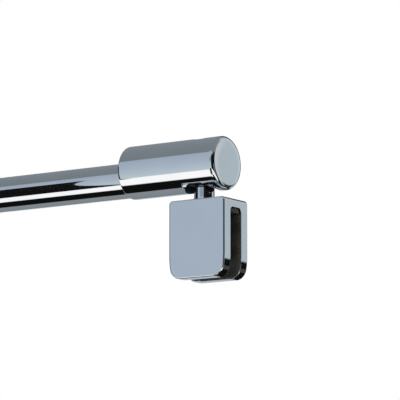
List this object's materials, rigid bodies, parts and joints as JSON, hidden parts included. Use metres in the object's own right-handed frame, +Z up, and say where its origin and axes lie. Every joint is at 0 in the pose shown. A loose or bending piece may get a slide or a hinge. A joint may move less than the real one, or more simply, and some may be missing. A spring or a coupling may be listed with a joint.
{
  "type": "glass panel support bar",
  "caption": "Round chrome tube from a covered wall flange to a swivelling U-shaped clamp that grips the top edge of a glass panel.",
  "frame": {"origin": "centre of the wall plate's back face, on the tube's axis", "axes": "+X from the wall along the tube to the clamp, +Z up, the clamp's plain front plate faces -Y"},
  "size_m": [0.4515, 0.046, 0.0799],
  "materials": {
    "chrome": "bright polished chrome plate",
    "stainless": "machined stainless steel",
    "zinc_steel": "zinc plated steel",
    "black_steel": "black oxide steel",
    "rubber": "matt dark rubber",
    "nylon": "natural nylon",
    "grey_nylon": "grey moulded nylon"
  },
  "bodies": {
    "fixed_bar": {"wall_plate": "stainless", "plate_o_ring": "rubber", "wall_screw_1": "zinc_steel", "wall_screw_2": "zinc_steel", "wall_screw_3": "zinc_steel", "wall_plug_1": "grey_nylon", "wall_plug_2": "grey_nylon", "wall_plug_3": "grey_nylon", "tube_retaining_screw": "black_steel", "support_tube": "chrome", "tube_core": "nylon", "head_body": "chrome", "head_set_screw": "black_steel", "pivot_bush": "nylon"},
    "rose": {"cover_rose": "chrome", "rose_grip_ring": "rubber"},
    "clamp": {"pivot_screw": "stainless", "pivot_washer": "stainless", "neck_washer": "stainless", "clamp_neck": "chrome", "clamp_body": "chrome", "front_pad": "rubber", "roof_pad": "rubber"},
    "pressure_jaw": {"pressure_plate": "stainless", "rear_pad": "rubber"},
    "upper_screw": {"clamp_screw_upper": "black_steel"},
    "lower_screw": {"clamp_screw_lower": "black_steel"}
  },
  "joints": [
    {"name": "rose_slide", "type": "slide", "parent": "fixed_bar", "child": "rose", "axis": [1, 0, 0], "range_m": [0, 0.34]},
    {"name": "clamp_swivel", "type": "hinge", "parent": "fixed_bar", "child": "clamp", "pos_m": [0.4, 0, 0], "axis": [0, 0, 1], "continuous": true},
    {"name": "jaw_slide", "type": "slide", "parent": "clamp", "child": "pressure_jaw", "axis": [0, -1, 0], "range_m": [0, 0.0021]},
    {"name": "upper_screw_turn", "type": "hinge", "parent": "pressure_jaw", "child": "upper_screw", "pos_m": [0.4025, 0, -0.0312], "axis": [0, -1, 0], "range_deg": [0, 758]},
    {"name": "lower_screw_turn", "type": "hinge", "parent": "pressure_jaw", "child": "lower_screw", "pos_m": [0.4025, 0, -0.0432], "axis": [0, -1, 0], "range_deg": [0, 758]}
  ],
  "couplings": [
    {"joint": "upper_screw_turn", "follows": "jaw_slide", "rad_per_m": 6283.2},
    {"joint": "lower_screw_turn", "follows": "jaw_slide", "rad_per_m": 6283.2}
  ]
}
